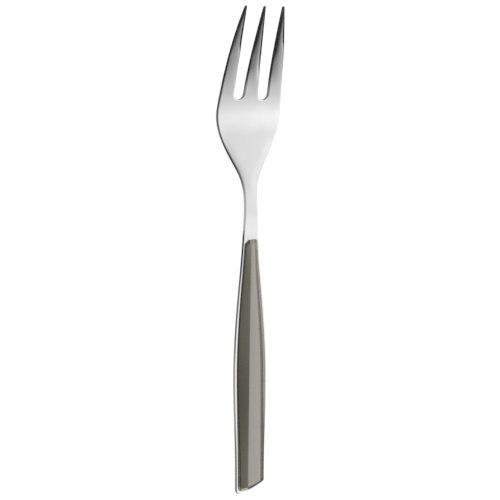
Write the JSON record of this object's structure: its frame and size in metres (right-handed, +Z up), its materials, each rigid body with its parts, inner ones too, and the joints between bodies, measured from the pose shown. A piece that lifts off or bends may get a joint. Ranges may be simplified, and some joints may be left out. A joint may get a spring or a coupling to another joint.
{
  "type": "pastry fork",
  "caption": "Small cake fork with three tapering tines, a slim S-curved steel neck and a faceted grey cover inlaid in the handle.",
  "frame": {"origin": "on the table under the middle of the fork's length and width", "axes": "+Y along the fork towards the tips of the tines, +X across it to the right seen from above, +Z up from the table"},
  "size_m": [0.021, 0.155, 0.0189],
  "materials": {
    "polished_steel": "polished stainless steel with faint handling scratches, duller sheared edges",
    "adhesive": "cured epoxy film, hidden under the cover",
    "cover_plastic": "glossy moulded taupe grey"
  },
  "bodies": {
    "root": {"fork_blank": "polished_steel", "bond_film": "adhesive", "handle_cover": "cover_plastic"}
  },
  "joints": []
}
